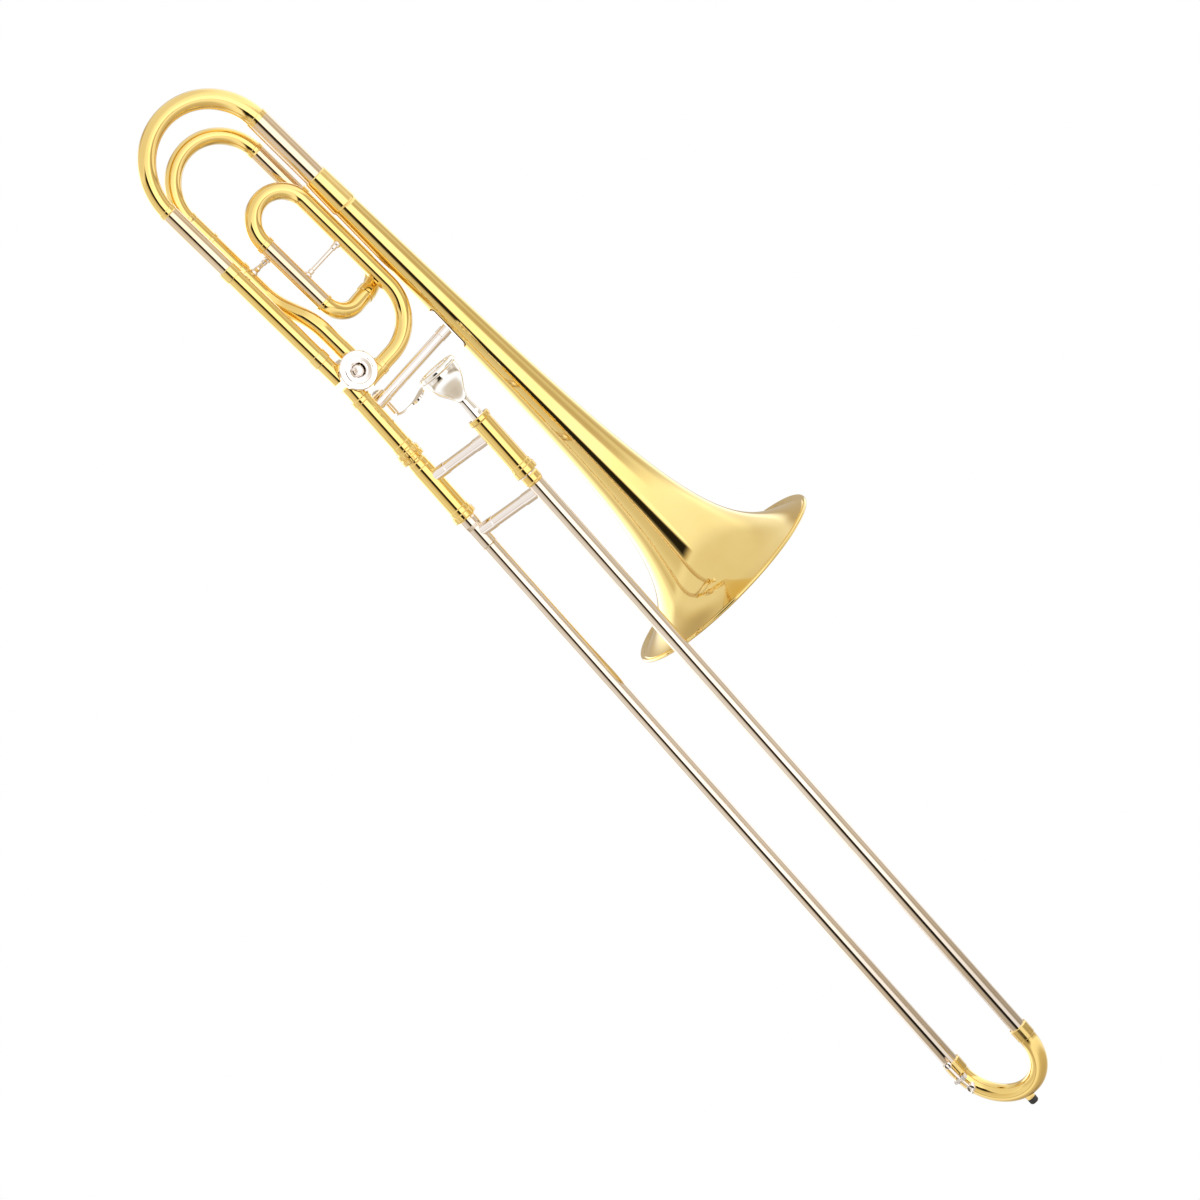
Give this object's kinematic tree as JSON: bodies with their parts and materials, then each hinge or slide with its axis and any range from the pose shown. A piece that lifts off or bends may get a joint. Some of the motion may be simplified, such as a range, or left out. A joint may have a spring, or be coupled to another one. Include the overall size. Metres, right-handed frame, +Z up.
{
  "type": "trombone",
  "caption": "Tenor trombone with a flared bell, a rotary valve with thumb lever and nested tubing, two tuning slides and a long hand slide with a mouthpiece, held by hand.",
  "frame": {"origin": "on the lower hand-slide tube's axis, in the middle of the nut that locks the hand slide to the bell section, where the left hand holds the instrument", "axes": "+X along the hand slide towards its crook and bumper, +Z up with the bell above the hand slide, -Y the side the mouthpiece's tube swings out to"},
  "size_m": [1.1678, 0.2044, 0.2708],
  "materials": {
    "bell_brass": "lacquered, mirror polished",
    "tube_brass": "lacquered, polished",
    "ferrule_brass": "lacquered, turned",
    "nickel": "polished nickel silver",
    "slide_nickel": "polished nickel silver",
    "chrome_tube": "hard chrome, mirror polished",
    "plated_silver": "silver plated",
    "mouthpiece_silver": "silver plated, mirror polished",
    "steel": "plated steel",
    "cork": "natural cork and felt",
    "rubber": "black moulded rubber"
  },
  "bodies": {
    "bell_section": {"bell_flare": "bell_brass", "bell_throat": "bell_brass", "bell_stem": "bell_brass", "bell_rim_wire": "bell_brass", "tuning_sleeves": "nickel", "bell_section_ferrules": "ferrule_brass", "neckpipe": "tube_brass", "valve_casing": "tube_brass", "bearing_plate": "plated_silver", "stop_plate": "tube_brass", "stop_corks": "cork", "bell_section_screws": "steel", "slide_receiver": "tube_brass", "bell_brace": "plated_silver", "lever_bracket": "nickel", "f_sleeve_upper": "nickel", "f_sleeve_lower": "tube_brass", "f_rear_tube": "tube_brass", "f_return_bow": "tube_brass", "f_loop_leg": "nickel", "f_loop_bow": "tube_brass", "f_valve_curve": "tube_brass", "f_lower_tube": "tube_brass", "f_braces": "plated_silver"},
    "tuning_slide": {"main_bow": "tube_brass", "main_bow_ferrules": "ferrule_brass", "tuning_legs": "nickel"},
    "f_tuning_slide": {"f_bow": "tube_brass", "f_bow_ferrules": "ferrule_brass", "f_tuning_legs": "nickel"},
    "rotor": {"rotor": "nickel", "stop_arm": "plated_silver", "stop_arm_screw": "steel"},
    "thumb_lever": {"thumb_lever": "nickel", "thumb_paddle": "plated_silver", "lever_spring": "steel"},
    "linkage_rod": {"linkage_rod": "plated_silver"},
    "valve_cap": {"valve_cap": "plated_silver"},
    "slide_inner": {"slide_tenon": "ferrule_brass", "lower_cork_barrel": "tube_brass", "upper_cork_barrel": "tube_brass", "inner_brace": "plated_silver", "inner_slide_tubes": "chrome_tube", "leadpipe": "tube_brass", "barrel_corks": "cork"},
    "lock_nut": {"lock_nut": "ferrule_brass"},
    "slide_lock_ring": {"slide_lock_ring": "ferrule_brass"},
    "slide_outer": {"outer_slide_tubes": "slide_nickel", "outer_slide_sleeve_lower": "slide_nickel", "outer_slide_sleeve_upper": "ferrule_brass", "outer_brace": "plated_silver", "crook": "tube_brass", "crook_fittings": "ferrule_brass", "slide_bumper": "rubber", "water_key_saddle": "plated_silver", "water_key_screw": "steel"},
    "water_key": {"water_key": "plated_silver", "water_key_cork": "cork", "water_key_spring": "steel"},
    "mouthpiece": {"mouthpiece": "mouthpiece_silver"}
  },
  "joints": [
    {"name": "hand_slide", "type": "slide", "parent": "slide_inner", "child": "slide_outer", "axis": [1, 0, 0], "range_m": [0, 0.6]},
    {"name": "slide_angle", "type": "hinge", "parent": "bell_section", "child": "slide_inner", "pos_m": [0, 0, 0], "axis": [1, 0, 0], "range_deg": [0, 36]},
    {"name": "lock_nut_turn", "type": "hinge", "parent": "slide_inner", "child": "lock_nut", "pos_m": [0, 0, 0], "axis": [1, 0, 0], "range_deg": [0, 540]},
    {"name": "slide_lock_turn", "type": "hinge", "parent": "slide_inner", "child": "slide_lock_ring", "pos_m": [0.07, 0, 0], "axis": [1, 0, 0], "range_deg": [0, 25]},
    {"name": "mouthpiece_pull", "type": "slide", "parent": "slide_inner", "child": "mouthpiece", "axis": [-1, 0, 0], "range_m": [0, 0.03]},
    {"name": "main_tuning", "type": "slide", "parent": "bell_section", "child": "tuning_slide", "axis": [-0.9972, 0, -0.0747], "range_m": [0, 0.06]},
    {"name": "f_tuning", "type": "slide", "parent": "bell_section", "child": "f_tuning_slide", "axis": [-0.9972, 0, -0.0747], "range_m": [0, 0.045]},
    {"name": "thumb_lever_press", "type": "hinge", "parent": "bell_section", "child": "thumb_lever", "pos_m": [-0.055, 0, 0.0204], "axis": [0, 1, 0], "range_deg": [0, 28], "stiffness_Nm_per_rad": 0.25, "springref_deg": -11.46},
    {"name": "rotor_turn", "type": "hinge", "parent": "bell_section", "child": "rotor", "pos_m": [-0.08544, 0, 0.01061], "axis": [0, 1, 0], "range_deg": [0, 90]},
    {"name": "rod_pivot", "type": "hinge", "parent": "rotor", "child": "linkage_rod", "pos_m": [-0.08084, 0, 0.00602], "axis": [0, 1, 0], "range_deg": [-90, 0]},
    {"name": "water_key_press", "type": "hinge", "parent": "slide_outer", "child": "water_key", "pos_m": [0.7465, -0.00969, -0.00757], "axis": [0, 0.6157, -0.788], "range_deg": [0, 10], "stiffness_Nm_per_rad": 0.05, "springref_deg": -17.19},
    {"name": "valve_cap_unscrew", "type": "hinge", "parent": "bell_section", "child": "valve_cap", "pos_m": [-0.08544, 0, 0.01061], "axis": [0, 1, 0], "range_deg": [0, 360]}
  ],
  "couplings": [
    {"joint": "rotor_turn", "follows": "thumb_lever_press", "ratio": 3.2143},
    {"joint": "rod_pivot", "follows": "thumb_lever_press", "ratio": -3.2143}
  ]
}
